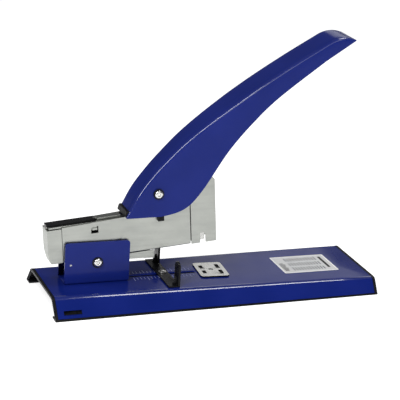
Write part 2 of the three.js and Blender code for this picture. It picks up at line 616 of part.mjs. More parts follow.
function makeMagazine() {
  const inner = [-HEAD_HALF + HEAD_WALL, HEAD_HALF - HEAD_WALL];
  const cap = across(capOutline(0), [-HEAD_HALF, HEAD_HALF]).subtract(across(capOutline(HEAD_WALL), inner));
  part(head, "rear_cap", SATIN(), cap);
  const catchLow = CAP_TOP + GAP;
  let latch = box([CAP_REAR, CAP_REAR + 1.8], [-2.6, 2.6], [catchLow, catchLow + 0.6]);
  latch = latch.add(box([CAP_REAR + 0.6, CAP_REAR + 1.5], [-2.6, 2.6], [catchLow, catchLow + 1.5]));
  part(head, "latch_catch", NICKEL(), latch);

  const railX = [RAIL.rear, RAIL.front];
  let rail = box(railX, [-RAIL.half, RAIL.half], [RAIL.low, RAIL.high]);
  const room = RAIL.half - RAIL.wall;
  const floor = RAIL.low + RAIL.wall;
  rail = rail.subtract(box([RAIL.rear - 1, RAIL.front + 1], [-room, room], [floor, RAIL.high + 1]));
  part(head, "magazine_rail", SATIN(), rail);
  part(head, "pusher_rod", NICKEL(), rodAlong(1.4, [CAP_REAR + 3, RAIL.front - 1], ROD_W));

  const clear = STAPLES.half - STAPLES.wall;
  let strip = box([STAPLES.rear, STAPLES.front], [-STAPLES.half, STAPLES.half], [STAPLES.low, STAPLES.high]);
  strip = strip.subtract(
    box([STAPLES.rear - 1, STAPLES.front + 1], [-clear, clear], [0, STAPLES.high - STAPLES.wall]));
  part(head, "staple_strip", NICKEL(), strip);

  const front = STAPLES.rear - GAP;
  const rear = front - PUSHER_LENGTH;
  const core = room - GAP;
  let pusher = box([rear, front], [-STAPLES.half, STAPLES.half], [STAPLES.low, 27]);
  pusher = pusher.subtract(box([rear - 1, front + 1], [-clear, clear], [0, RAIL.high + GAP]));
  pusher = pusher.add(box([rear, front - 3], [-core, core], [floor + GAP, 24]));
  pusher = pusher.subtract(rodAlong(1.7, [rear - 1, front + 1], ROD_W));
  part(head, "pusher", BLACK(), pusher);

  const springRear = CAP_FRONT + GAP;
  const height = rear - springRear - GAP;
  const spring = coil({ radius: 2.8, wire: 0.8, height, turns: 13, stepsPerTurn: 8, sides: 4 });
  spring.rotateY(Math.PI / 2);
  spring.translate(springRear, 0, ROD_W);
  part(head, "pusher_spring", SPRING(), solid(spring));
}

// ---------- driver ----------
function makeDriver() {
  const half = 4.4;
  const room = DRIVE_R + 0.8;
  let holder = box([DRIVE_U - 7.5, DRIVE_U + 5], [-half, half], [BLADE.high + GAP, DRIVE_W + 3.7]);
  holder = holder.subtract(
    box([DRIVE_U - 8, DRIVE_U + room], [-half - 1, half + 1], [DRIVE_W - room, DRIVE_W + room]));
  part(head, "driver_holder", SATIN(), holder);
  const blade = box([BLADE.rear, BLADE.front], [-BLADE.half, BLADE.half], [BLADE.low, BLADE.high]);
  part(head, "driver_blade", NICKEL(), blade);
}

// ---------- handle ----------
// Side outline, in the handle's frame about its pin: the ridge along the top and the edge below it.
const RIDGE = [
  [-27.2, -19.6], [-16.7, 0.4], [-4.2, 16.9], [7.3, 29.4], [24.3, 45.8], [47.3, 63.8], [81.3, 87.4],
  [115.3, 108.4], [148, 127],
];
const EDGE = [
  [-27.1, -20.4], [-11, -20.5], [6.8, -19.8], [24.4, -13.9], [38.6, 1.4], [60.6, 35.8], [82, 60.6],
  [103.8, 80.8], [143.1, 109.8],
];
const TIP_BEND = [158.5, 132.6]; // where the ridge turns down at the tip
const TIP_RIDGE = [170.4, 127.6];
const TIP_EDGE = [169.4, 126.6];
const HANDLE_ROOF = 1.5;
const HANDLE_CHEEK = 1.2;
const HANDLE_WIDTH = { rear: -6.7, front: 68.3, narrow: 13, wide: 16.5 };

// Half the handle's width: narrow at the pin and wide at the grip.
function halfWidth(x) {
  const share = (x - HANDLE_WIDTH.rear) / (HANDLE_WIDTH.front - HANDLE_WIDTH.rear);
  const smooth = THREE.MathUtils.smoothstep(share, 0, 1);
  const even = THREE.MathUtils.clamp(share, 0, 1);
  return THREE.MathUtils.lerp(HANDLE_WIDTH.narrow, HANDLE_WIDTH.wide, (smooth + even) / 2);
}

function curvePoints(points, count) {
  const curve = new THREE.SplineCurve(points.map(([x, z]) => new THREE.Vector2(x, z)));
  return curve.getSpacedPoints(count);
}

function handleSections() {
  const steps = 30;
  const tipSteps = 6;
  const ridge = curvePoints(RIDGE, steps);
  const edge = curvePoints(EDGE, steps);
  const bend = new THREE.QuadraticBezierCurve(
    ridge[steps], new THREE.Vector2(...TIP_BEND), new THREE.Vector2(...TIP_RIDGE));
  const under = new THREE.LineCurve(edge[steps], new THREE.Vector2(...TIP_EDGE));
  ridge.push(...bend.getPoints(tipSteps).slice(1));
  edge.push(...under.getPoints(tipSteps).slice(1));
  return ridge.map((top, i) => ({ top, edge: edge[i] }));
}

// A channel lofted through its sections: roof on top, two cheeks, open below.
function channelLoft(sections) {
  const positions = [];
  const index = [];
  const ring = 8;
  for (const { top, edge } of sections) {
    const depth = top.distanceTo(edge);
    const roof = Math.min(HANDLE_ROOF, depth * 0.6);
    const inner = new THREE.Vector2().lerpVectors(top, edge, roof / depth);
    const w0 = (p) => halfWidth(p.x);
    const w1 = (p) => halfWidth(p.x) - HANDLE_CHEEK;
    const loop = [
      [edge, -w0(edge)], [top, -w0(top)], [top, w0(top)], [edge, w0(edge)],
      [edge, w1(edge)], [inner, w1(inner)], [inner, -w1(inner)], [edge, -w1(edge)],
    ];
    for (const [p, y] of loop) positions.push(p.x, y, p.y);
  }
  for (let s = 0; s + 1 < sections.length; s += 1) {
    for (let k = 0; k < ring; k += 1) {
      const a = s * ring + k;
      const b = s * ring + ((k + 1) % ring);
      index.push(a, b + ring, b, a, a + ring, b + ring);
    }
  }
  const last = (sections.length - 1) * ring;
  for (const [a, b, c, d] of [[0, 1, 6, 7], [1, 2, 5, 6], [2, 3, 4, 5]]) {
    index.push(a, b, c, a, c, d);
    index.push(last + a, last + c, last + b, last + a, last + d, last + c);
  }
  const geometry = new THREE.BufferGeometry();
  geometry.setAttribute("position", new THREE.BufferAttribute(new Float32Array(positions), 3));
  geometry.setIndex(index);
  return geometry;
}

function makeHandle() {
  let shell = solid(channelLoft(handleSections()));
  shell = shell.subtract(rodAcross(SCREW_R + RUNNING, [-25, 25], 0, 0));
  const capHalf = HANDLE_WIDTH.narrow - HANDLE_CHEEK;
  const capTop = -14.2;
  shell = shell.subtract(box([-35, -19], [-capHalf, capHalf], [-25, capTop]));
  part(handle, "handle_shell", BLUE(), shell);

  const cap = shape([[-28.3, -19.1], [-20, -18.6], [-20, capTop - GAP], [-26.9, capTop - GAP]]);
  part(handle, "handle_end_cap", BLACK(), across(cap, [-capHalf + GAP, capHalf - GAP]));

  // The lever: a boss on the pin, a web under the roof, and a fork that reaches into the nose.
  const half = 6.3;
  const wall = 1.5;
  const tip = 3.4;
  const side = new THREE.Shape();
  side.moveTo(-2, 14);
  side.absarc(0, 0, 6.8, 0.85 * Math.PI, 1.55 * Math.PI);
  side.absarc(DRIVE_X, DRIVE_Z, tip, 1.55 * Math.PI, 2.5 * Math.PI);
  side.lineTo(27, 7.4);
  side.lineTo(20, 19);
  side.lineTo(8, 26);
  let lever = across(side, [-half, half], 10);
  const hollow = shape([[-12, -12], [60, -12], [60, 30], [9.3, 30], [9.3, 24.5], [-1, 12.3], [-12, 8]]);
  lever = lever.subtract(across(hollow, [-half + wall, half - wall]));
  const ends = [-half - 1, half + 1];
  lever = lever.subtract(rodAcross(SCREW_R + RUNNING, ends, 0, 0));
  lever = lever.subtract(rodAcross(DRIVE_R + 0.1, ends, DRIVE_X, DRIVE_Z, 16));
  part(handle, "drive_lever", SATIN(), lever);
  part(handle, "drive_pin", NICKEL(), rodAcross(DRIVE_R, [-half - 0.2, half + 0.2], DRIVE_X, DRIVE_Z, 16));
}

makeBase();
makeBracket();
makeHingeScrew();
makeHeadSpring();
makeGuide();
makeAnvil();
makeLabel();
makeFrame();
makeLiftArm();
makeNose();
makeTop();
makeHandlePin();
makeMagazine();
makeDriver();
makeHandle();

export default stapler;
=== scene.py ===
"""Looks of a heavy-duty desktop stapler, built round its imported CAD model. Metres, +Z up."""
import json
import math

import bmesh
import bpy
from mathutils import Matrix, Vector


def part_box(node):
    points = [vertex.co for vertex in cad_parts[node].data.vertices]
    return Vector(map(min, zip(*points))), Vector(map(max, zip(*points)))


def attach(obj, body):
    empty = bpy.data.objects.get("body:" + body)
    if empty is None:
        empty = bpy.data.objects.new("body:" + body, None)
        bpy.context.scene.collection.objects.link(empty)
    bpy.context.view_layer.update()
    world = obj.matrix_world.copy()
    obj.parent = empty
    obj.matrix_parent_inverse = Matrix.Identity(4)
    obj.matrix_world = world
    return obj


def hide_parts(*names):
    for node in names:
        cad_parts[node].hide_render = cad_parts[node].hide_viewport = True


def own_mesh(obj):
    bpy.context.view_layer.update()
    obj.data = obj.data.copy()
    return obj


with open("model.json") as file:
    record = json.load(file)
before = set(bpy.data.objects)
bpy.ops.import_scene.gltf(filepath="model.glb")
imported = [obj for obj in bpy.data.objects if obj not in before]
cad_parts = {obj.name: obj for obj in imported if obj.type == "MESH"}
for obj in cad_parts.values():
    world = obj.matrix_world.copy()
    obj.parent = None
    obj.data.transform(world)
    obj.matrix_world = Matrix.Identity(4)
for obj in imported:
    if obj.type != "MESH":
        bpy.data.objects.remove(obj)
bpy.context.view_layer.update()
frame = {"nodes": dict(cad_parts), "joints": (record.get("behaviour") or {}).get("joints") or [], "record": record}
joints = {joint["name"]: joint for joint in frame["joints"]}
body_of_node = {
    node: body for body, nodes in frame["record"]["behaviour"]["bodies"].items() for node in nodes
}
slot_of_node = {part["node"]: part["material_slot"] for part in frame["record"]["subparts"]}

# Lengths are in millimetres and are scaled by MM where geometry is made.
MM = 0.001
BASE_LENGTH = 290
DECK_REAR_HEIGHT = 16.1
DECK_DROP = 2.9
DECK_SLOPE = math.atan(DECK_DROP / BASE_LENGTH)
HEAD_TILT = math.radians(4.5)
SHARP_ANGLE = math.radians(34)

BRACKET_HALF = 10.6
BRACKET_INNER_HALF = 9.1
BRACKET_SHEET = 1.6
WELD_SPOT_AT = (22.6, -10.58, 17.3)
HINGE_AT = (45.8, 18.7)
HANDLE_PIN_AT = (55.1, 54.1)
HEAD_SPRING_AT = (68.3, 0, 1.9)
PUSHER_SPRING_AT = (-28.6, 0, 12)

ANVIL_AT = 152
ANVIL_TURN = math.radians(-4)
GROOVES = ((-7.4, 2.6, 9.6), (7.4, 2.2, 11.5))  # (x, inner end, outer end)
GROOVE_HALF = 1.6

SCALE_PITCH = 3.175
SCALE_FIRST = 80.0
SCALE_END = 137
SLOT_EDGE = 4.6
LONG_MARK, SHORT_MARK = 7.2, 4.6

LABEL_TOP = 0.35
LABEL_ROWS = (-11.0, 0.0, 11.0)
INK_RISE = 0.03

SHEET = 1.2
CAMERA_PLACE = (-0.48903, -1.31343, 0.54544)
CAMERA_BACK = (-0.32745, -0.89066, 0.31545)
CAMERA_LENS = 154.86
CAMERA_ROLL = math.radians(2.871)

# ---------- frames ----------
# The deck's frame stands on the sloping top of the base, at the hinge end.
DECK = (Matrix.Translation((-BASE_LENGTH / 2 * MM, 0, DECK_REAR_HEIGHT * MM))
        @ Matrix.Rotation(DECK_SLOPE, 4, "Y"))
ANVIL = DECK @ Matrix.Translation((ANVIL_AT * MM, 0, 0)) @ Matrix.Rotation(ANVIL_TURN, 4, "Z")
# The head's frame starts at the hinge screw: u along the head, w up.
HEAD = Matrix.Translation(joints["head_pivot"]["pos_m"]) @ Matrix.Rotation(-HEAD_TILT, 4, "Y")
# The handle's frame starts at its pin and stands level.
HANDLE = Matrix.Translation(joints["handle_pivot"]["pos_m"])


# ---------- materials ----------
class Shader:
    """A node material with a Principled surface, and short ways to add texture to it."""

    def __init__(self, name, **sockets):
        self.material = bpy.data.materials.new(name)
        self.material.use_nodes = True
        self.nodes = self.material.node_tree.nodes
        self.links = self.material.node_tree.links
        self.surface = self.nodes["Principled BSDF"]
        for socket, value in sockets.items():
            self.surface.inputs[socket.replace("_", " ")].default_value = value
        self.place = self.nodes.new("ShaderNodeTexCoord").outputs["Object"]

    def noise(self, scale, detail=3.0, stretch=(1, 1, 1)):
        mapping = self.nodes.new("ShaderNodeMapping")
        mapping.inputs["Scale"].default_value = stretch
        self.links.new(self.place, mapping.inputs["Vector"])
        noise = self.nodes.new("ShaderNodeTexNoise")
        noise.inputs["Scale"].default_value = scale
        noise.inputs["Detail"].default_value = detail
        self.links.new(mapping.outputs["Vector"], noise.inputs["Vector"])
        return noise.outputs["Fac"]

    def ramp(self, factor, low, high, start=0.35, end=0.65):
        ramp = self.nodes.new("ShaderNodeValToRGB")
        ramp.color_ramp.elements[0].position = start
        ramp.color_ramp.elements[1].position = end
        ramp.color_ramp.elements[0].color = low
        ramp.color_ramp.elements[1].color = high
        self.links.new(factor, ramp.inputs["Fac"])
        return ramp.outputs["Color"]

    def colour(self, factor, low, high, start=0.35, end=0.65):
        mixed = self.ramp(factor, (*low, 1), (*high, 1), start, end)
        self.links.new(mixed, self.surface.inputs["Base Color"])

    def roughness(self, factor, low, high):
        spread = self.nodes.new("ShaderNodeMapRange")
        spread.inputs["From Min"].default_value = 0.3
        spread.inputs["From Max"].default_value = 0.7
        spread.inputs["To Min"].default_value = low
        spread.inputs["To Max"].default_value = high
        self.links.new(factor, spread.inputs["Value"])
        self.links.new(spread.outputs["Result"], self.surface.inputs["Roughness"])

    def bump(self, height, strength, distance=0.0002):
        bump = self.nodes.new("ShaderNodeBump")
        bump.inputs["Strength"].default_value = strength
        bump.inputs["Distance"].default_value = distance
        self.links.new(height, bump.inputs["Height"])
        self.links.new(bump.outputs["Normal"], self.surface.inputs["Normal"])


def make_enamel(name, gloss, coat):
    """Glossy blue stoving enamel: a faint orange peel, and cloudy patches where it was handled."""
    paint = Shader(name, Metallic=0.0, Specular_IOR_Level=gloss, Coat_Weight=coat, Coat_Roughness=0.05)
    paint.colour(paint.noise(22, 2), (0.004, 0.012, 0.128), (0.006, 0.015, 0.15))
    paint.roughness(paint.noise(60, 4), 0.13, 0.2)
    paint.bump(paint.noise(700, 2), 0.02)
    return paint.material


def make_satin():
    """Zinc-plated sheet steel with a fine rolled grain along the head."""
    steel = Shader("satin_steel", Metallic=1.0, Anisotropic=0.3)
    steel.colour(steel.noise(35, 3, (1, 1, 2)), (0.31, 0.32, 0.3), (0.36, 0.37, 0.345))
    steel.roughness(steel.noise(700, 3, (0.05, 1, 1)), 0.3, 0.42)
    steel.bump(steel.noise(1500, 2, (0.04, 1, 1)), 0.12)
    return steel.material


def make_nickel():
    nickel = Shader("bright_nickel", Metallic=1.0)
    nickel.colour(nickel.noise(400, 2), (0.56, 0.56, 0.54), (0.64, 0.64, 0.62))
    nickel.roughness(nickel.noise(900, 2), 0.16, 0.28)
    nickel.bump(nickel.noise(2600, 2), 0.05)
    return nickel.material


def make_black(name, low, high, grain, strength):
    black = Shader(name, Metallic=0.0, Specular_IOR_Level=0.12)
    black.colour(black.noise(150, 2), (0.003, 0.003, 0.004), (0.006, 0.006, 0.007))
    black.roughness(black.noise(300, 3), low, high)
    black.bump(black.noise(grain, 3), strength)
    return black.material


def make_spring_wire():
    wire = Shader("spring_wire", Metallic=1.0)
    wire.colour(wire.noise(500, 2), (0.3, 0.31, 0.32), (0.42, 0.42, 0.43))
    wire.roughness(wire.noise(900, 2), 0.25, 0.38)
    wire.bump(wire.noise(3000, 2), 0.06)
    return wire.material


def make_film(name, low, high):
    """Printed film or ink: nearly even, with the slightest paper mottle."""
    film = Shader(name, Metallic=0.0, Specular_IOR_Level=0.12)
    film.colour(film.noise(800, 3), low, high)
    film.roughness(film.noise(500, 2), 0.38, 0.5)
    film.bump(film.noise(2000, 2), 0.03)
    return film.material


ENAMEL = make_enamel("blue_enamel", 0.1, 0.06)
POLISHED = make_enamel("blue_enamel_on_folds", 0.5, 0.6)
SATIN = make_satin()
NICKEL = make_nickel()
BLACK_PLASTIC = make_black("black_plastic", 0.38, 0.5, 1800, 0.12)
BLACK_STEEL = make_black("black_oxide", 0.22, 0.34, 2400, 0.06)
WIRE = make_spring_wire()
WHITE_FILM = make_film("label_white", (0.86, 0.86, 0.87), (0.92, 0.92, 0.92))
BAND_INK = make_film("label_band", (0.6, 0.61, 0.62), (0.66, 0.67, 0.68))
GREY_INK = make_film("label_grey", (0.62, 0.62, 0.62), (0.68, 0.68, 0.68))
DARK_INK = make_film("label_dark", (0.004, 0.004, 0.005), (0.008, 0.008, 0.009))
MARK_INK = make_film("scale_ink", (0.2, 0.22, 0.42), (0.27, 0.29, 0.5))
# Near-black paint that stands for shade: painted shade on the anvil plate's sides and in its grooves.
PAINTED_SHADE = make_black("painted_shade_black", 0.4, 0.55, 1500, 0.1)

LOOKS = {
    "blue_paint": ENAMEL,
    "satin_steel": SATIN,
    "bright_nickel": NICKEL,
    "black_plastic": BLACK_PLASTIC,
    "black_steel": BLACK_STEEL,
    "spring_steel": WIRE,
    "label_print": WHITE_FILM,
}


# ---------- making pieces ----------
def add_piece(name, mesh, body, look, node=None):
    """A new piece that rides on a body and can stand for a CAD node."""
    piece = bpy.data.objects.new(name, mesh)
    bpy.context.scene.collection.objects.link(piece)
    mesh.materials.clear()
    mesh.materials.append(look)
    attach(piece, body)
    if node:
        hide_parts(node)
    return piece


def shade(mesh, angle=32):
    for polygon in mesh.polygons:
        polygon.use_smooth = True
    mesh.set_sharp_from_angle(angle=math.radians(angle))


def polish_folds(piece, low, high):
    """Gives the glossier enamel to the folds: faces whose normal leans sideways between two limits."""
    piece.data.materials.append(POLISHED)
    for polygon in piece.data.polygons:
        if low < abs(polygon.normal.y) < high:
            polygon.material_index = 1


def edge_bevel(piece, width, segments=3):
    bevel = piece.modifiers.new("edges", "BEVEL")
    bevel.width = width * MM
    bevel.segments = segments
    bevel.limit_method = "ANGLE"
    bevel.angle_limit = SHARP_ANGLE
    bevel.harden_normals = True


def finished(node, width=0.25, rounds=(), frame_matrix=None, flat=0.6):
    """A copy of a CAD node with its flat faces joined, its folds rounded and its edges broken.

    rounds lists (test, radius): an edge is rounded where test is true for both its ends, which are
    given in millimetres in frame_matrix's own frame. Faces within `flat` degrees are joined.
    """
    source = frame["nodes"][node]
    bm = bmesh.new()
    bm.from_mesh(source.data)
    bmesh.ops.remove_doubles(bm, verts=bm.verts, dist=1e-6)
    bmesh.ops.dissolve_limit(
        bm, angle_limit=math.radians(flat), verts=bm.verts, edges=bm.edges,
        use_dissolve_boundaries=False)
    # Concave faces are split before and after the rounding, or they fold over themselves.
    bmesh.ops.connect_verts_concave(bm, faces=bm.faces)
    into = (frame_matrix or Matrix.Identity(4)).inverted()
    for test, radius in rounds:
        chosen = []
        for edge in bm.edges:
            if len(edge.link_faces) != 2 or edge.calc_face_angle() < SHARP_ANGLE:
                continue
            if all(test(into @ vertex.co / MM) for vertex in edge.verts):
                chosen.append(edge)
        bmesh.ops.bevel(
            bm, geom=chosen, offset=radius * MM, segments=5, profile=0.5, affect="EDGES",
            clamp_overlap=True)
    bmesh.ops.connect_verts_concave(bm, faces=bm.faces)
    mesh = mesh_of(node + "_finished", bm)
    shade(mesh)
    look = LOOKS[slot_of_node[node]]
    piece = add_piece(node + "_piece", mesh, body_of_node[node], look, node=node)
    edge_bevel(piece, width)
    return piece


def from_loops(name, rings, closed_ends=True):
    """A mesh from rings of points, each joined to the next; every ring is closed."""
    bm = bmesh.new()
    rows = [[bm.verts.new(point) for point in ring] for ring in rings]
    count = len(rings[0])
    for row, following in zip(rows, rows[1:]):
        for k in range(count):
            bm.faces.new((row[k], row[(k + 1) % count], following[(k + 1) % count], following[k]))
    if closed_ends:
        bm.faces.new(rows[0][::-1])
        bm.faces.new(rows[-1])
    bmesh.ops.remove_doubles(bm, verts=bm.verts, dist=1e-7)
    bmesh.ops.recalc_face_normals(bm, faces=bm.faces)
    return mesh_of(name, bm)


def lathe(name, profile, matrix, sides=48):
    """A round piece about Z from (radius, height) pairs in millimetres, ends on the axis."""
    rings = []
    for radius, height in profile:
        ring = []
        for k in range(sides):
            angle = 2 * math.pi * k / sides
            point = Vector((radius * math.cos(angle), radius * math.sin(angle), height))
            ring.append(matrix @ (point * MM))
        rings.append(ring)
    mesh = from_loops(name, rings)
    shade(mesh, 40)
    return mesh


def mesh_of(name, bm):
    """Turns a bmesh into a mesh and frees it."""
    mesh = bpy.data.meshes.new(name)
    bm.to_mesh(mesh)
    bm.free()
    return mesh


def slab(bm, matrix, x, y, z):
    """Adds a flat block, from ranges in millimetres in the matrix's frame."""
    corners = [matrix @ (Vector((a, b, c)) * MM) for c in z for b in y for a in x]
    v = [bm.verts.new(corner) for corner in corners]
    faces = ((0, 2, 3, 1), (4, 5, 7, 6), (0, 1, 5, 4), (1, 3, 7, 5), (3, 2, 6, 7), (2, 0, 4, 6))
    for face in faces:
        bm.faces.new([v[i] for i in face])


def coil(name, node, matrix, radius, wire, height, turns, body):
    """A wire spring about the matrix's Z axis, with its end turns closed."""
    steps = 20
    sides = 8
    closed_turns = 0.8
    closed_rise = 0.06
    up = Vector((0, 0, 1))
    rings = []
    total = int(turns * steps)
    for i in range(total + 1):
        share = i / total
        ease = min(1.0, max(0.0, (share * turns - closed_turns) / (turns - 2 * closed_turns)))
        angle = 2 * math.pi * i / steps
        centre = Vector((radius * math.cos(angle), radius * math.sin(angle), 0))
        centre.z = wire * 0.5 + (height - wire) * (closed_rise * share + (1 - closed_rise) * ease)
        outward = centre.copy()
        outward.z = 0
        outward.normalize()
        ring = []
        for k in range(sides):
            turn = 2 * math.pi * k / sides
            ring.append(centre + (outward * math.cos(turn) + up * math.sin(turn)) * wire / 2)
        rings.append([matrix @ (point * MM) for point in ring])
    mesh = from_loops(name, rings)
    shade(mesh, 60)
    return add_piece(name, mesh, body, WIRE, node=node)


# ---------- base ----------
def make_base():
    polish_folds(finished("base_cover", 0.3, flat=0.02), 0.05, 0.69)
    finished("base_edging", 0.3, flat=0.02)
    finished("base_pan", 0.2, flat=0.02)

    def is_fold(p):
        return p.z < 0.3 and abs(abs(p.y) - BRACKET_HALF) < 0.05

    def is_inner_fold(p):
        return abs(p.z - BRACKET_SHEET) < 0.2 and abs(abs(p.y) - BRACKET_INNER_HALF) < 0.05

    finished("bracket", 0.35, [(is_fold, 2.2), (is_inner_fold, 0.8)], DECK)
    finished("bracket_rivet_rear", 0.15)
    finished("bracket_rivet_front", 0.15)
    finished("hinge_nut", 0.35)
    finished("hinge_washer", 0.1)
    # A weld spot stands slightly proud of the near cheek.
    centre = DECK @ (Vector(WELD_SPOT_AT) * MM)
    spot = Matrix.Translation(centre) @ Matrix.Rotation(math.pi / 2, 4, "X")
    profile = [(0.0, -0.1), (0.95, -0.1), (0.9, 0.12), (0.55, 0.3), (0.0, 0.34)]
    mesh = lathe("weld_spot", profile, spot, 24)
    add_piece("bracket_weld_spot", mesh, "base", NICKEL)


def make_guide():
    finished("paper_guide", 0.3)
    finished("guide_nut_plate", 0.25)
    finished("guide_screw", 0.12)
    finished("anvil_rivet", 0.12)
    # The plate keeps its metal look on top; its side faces and the bottoms of its grooves are painted black as
    # painted shade.
    plate = finished("anvil_plate", 0.15)
    plate.data.materials.append(PAINTED_SHADE)
    # Faces that do not look up get the black painted shade.
    for polygon in plate.data.polygons:
        if polygon.normal.z < 0.5:
            polygon.material_index = 1
    # Thin black slabs on the groove floors are painted shade in the grooves, not a separate part.
    painted_shade_bm = bmesh.new()
    for x, inner, outer in GROOVES:
        for side in (-1, 1):
            y = sorted((side * (inner + 0.1), side * (outer - 0.1)))
            slab(painted_shade_bm, ANVIL, (x - GROOVE_HALF, x + GROOVE_HALF), y, (0.6, 0.65))
    mesh = mesh_of("anvil_groove_painted_shade_mesh", painted_shade_bm)
    add_piece("anvil_groove_painted_shade", mesh, "anvil", PAINTED_SHADE)


def make_scale():
    """Marks an eighth of an inch apart on both sides of the guide's slot."""
    bm = bmesh.new()
    half_stroke = 0.22
    x = SCALE_FIRST
    count = 0
    while x < SCALE_END:
        length = LONG_MARK if count % 4 == 0 else SHORT_MARK
        for side in (-1, 1):
            y = sorted((side * SLOT_EDGE, side * (SLOT_EDGE + length)))
            slab(bm, DECK, (x - half_stroke, x + half_stroke), y, (0.0, 0.05))
        x += SCALE_PITCH
        count += 1
    add_piece("scale_marks", mesh_of("scale_marks", bm), "base", MARK_INK)


def printed(name, blocks, look):
    """Flat printed blocks on the label, from (x range, y range, height above the film)."""
    bm = bmesh.new()
    for x, y, rise in blocks:
        slab(bm, DECK, x, y, (LABEL_TOP + rise, LABEL_TOP + rise + INK_RISE))
    add_piece(name, mesh_of(name, bm), "base", look)


def make_label():
    """A plain pattern in place of print: a grey field, a bar, and bands of fine strokes."""
    finished("size_label", 0.05)
    printed("label_field", [((215.8, 264.2), (-18.4, 18.4), 0.0)], GREY_INK)
    bands = [((224.8, 256.4), (y - 4.6, y + 4.6), INK_RISE) for y in LABEL_ROWS]
    printed("label_bands", bands, BAND_INK)
    dark = [((258.4, 260.8), (-12, 14), INK_RISE)]
    for row in range(7):
        y0 = -14.2 + 2.7 * row
        dark.append(((217.2, 220.8 + 0.7 * (row % 3)), (y0, y0 + 1.4), INK_RISE))
    for band, y in enumerate(LABEL_ROWS):
        for column in range(12):
            x = 225.6 + 2.6 * column
            reach = 3.9 - 0.7 * ((column + 2 * band) % 3)
            dark.append(((x, x + 0.85), (y - 3.9, y + reach), 2 * INK_RISE))
    printed("label_strokes", dark, DARK_INK)


# ---------- screws ----------
def pan_head(face, height, radius=3.7):
    """(radius, distance) pairs of a pan head from its driver recess out to its seat at `face`."""
    recess = [(0.0, 0.45), (0.95, 0.5), (1.3, 0.9), (1.6, 1.0)]
    crown = [(0.62, 0.96), (0.85, 0.75), (0.97, 0.42), (1.0, 0.15), (1.0, 0.0)]
    head = recess + [(radius * share, rise) for share, rise in crown]
    return [(r, face + height * rise) for r, rise in head]


def screw_across(node, matrix, near, far):
    """A screw whose axis runs across, from its near end's profile to its far end's."""
    shank = 2.6
    profile = [(r, -y) for r, y in near] + [(shank, -near[-1][1]), (shank, far[-1][1])]
    profile += [(r, y) for r, y in far[::-1]]
    mesh = lathe(node + "_turned", profile, matrix @ Matrix.Rotation(-math.pi / 2, 4, "X"))
    add_piece(node + "_piece", mesh, body_of_node[node], NICKEL, node=node)


def make_screws():
    hinge = DECK @ Matrix.Translation((HINGE_AT[0] * MM, 0, HINGE_AT[1] * MM))
    threaded_end = [(0.0, 15.0), (2.3, 15.0), (2.6, 14.7)]
    screw_across("hinge_screw", hinge, pan_head(11.5, 1.7, 3.8), threaded_end)
    pin = HEAD @ Matrix.Translation((HANDLE_PIN_AT[0] * MM, 0, HANDLE_PIN_AT[1] * MM))
    screw_across("handle_pin", pin, pan_head(14.45, 1.7), pan_head(14.45, 1.7))
    finished("pin_washer_near", 0.1)
    finished("pin_washer_far", 0.1)
    finished("lever_pin", 0.1)


# ---------- head ----------
def make_head():
    def is_frame_fold(p):
        return abs(p.z - 3.1) < 0.1 and abs(abs(p.y) - 8) < 0.05 and abs(p.x) > 10.9

    def is_cap_fold(p):
        return p.x < -38 and abs(abs(p.y) - 8) < 0.05 and p.z < 33

    def is_nose_fold(p):
        return p.x > 106.9 and abs(abs(p.y) - 8.9) < 0.05

    finished("head_frame", 0.2, [(is_frame_fold, 0.8)], HEAD)
    finished("rear_cap", 0.25, [(is_cap_fold, 1.6)], HEAD)
    finished("nose_housing", 0.3, [(is_nose_fold, 2.0)], HEAD)
    edge_widths = {
        "lift_arm": 0.25, "top_cover": 0.35, "top_rail": 0.3, "release_lever": 0.3,
        "latch_catch": 0.2, "magazine_rail": 0.15, "pusher": 0.3, "pusher_rod": 0.1,
        "driver_holder": 0.25, "driver_blade": 0.12, "pin_spacer_near": 0.3, "pin_spacer_far": 0.3,
        "drive_lever": 0.2, "drive_pin": 0.15, "handle_end_cap": 0.3,
    }
    for node, width in edge_widths.items():
        finished(node, width)


def make_staples():
    """A stick of staples, each a bent wire, glued side by side."""
    pitch = 0.62
    wire = 0.56
    thickness = 0.75
    half = 6.7
    low = 5.0
    high = 22.8
    front_end = 97.5
    bm = bmesh.new()
    u = 44.3
    while u + wire < front_end:
        slab(bm, HEAD, (u, u + wire), (-half, half), (high - thickness, high))
        for side in (-1, 1):
            y = sorted((side * half, side * (half - thickness)))
            slab(bm, HEAD, (u, u + wire), y, (low, high - thickness - 0.01))
        u += pitch
    mesh = mesh_of("staples", bm)
    piece = add_piece("staple_stick", mesh, "magazine", NICKEL, node="staple_strip")
    edge_bevel(piece, 0.08, 1)


def make_springs():
    quarter = math.pi / 2
    under_head = DECK @ Matrix.Translation(Vector(HEAD_SPRING_AT) * MM)
    head_spring = coil("head_spring_wire", "head_spring", under_head, 3.6, 0.9, 16.0, 6, "base")
    low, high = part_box("head_spring")
    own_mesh(head_spring)
    rod = HEAD @ Matrix.Translation(Vector(PUSHER_SPRING_AT) * MM) @ Matrix.Rotation(quarter, 4, "Y")
    coil("pusher_spring_wire", "pusher_spring", rod, 2.8, 0.8, 56.0, 13, "follower")
    length = 7.4
    far_end = Vector((HANDLE_PIN_AT[0], length / 2, HANDLE_PIN_AT[1])) * MM
    pin = HEAD @ Matrix.Translation(far_end) @ Matrix.Rotation(quarter, 4, "X")
    coil("handle_spring_wire", "handle_spring", pin, 4.4, 1.1, length, 5, "head")


# ---------- handle ----------
# (x, z) from the handle's pin: its upper line and its open lower edge, then the turned-down tip.
RIDGE = [
    (-27.2, -19.6), (-16.7, 0.4), (-4.2, 16.9), (7.3, 29.4), (24.3, 45.8), (47.3, 63.8),
    (81.3, 87.4), (115.3, 108.4), (148, 127),
]
EDGE = [
    (-27.1, -20.4), (-11, -20.5), (6.8, -19.8), (24.4, -13.9), (38.6, 1.4), (60.6, 35.8),
    (82, 60.6), (103.8, 80.8), (143.1, 109.8),
]
TIP_BEND = (158.5, 132.6)
TIP_RIDGE = (170.4, 127.6)
TIP_EDGE = (169.4, 126.6)


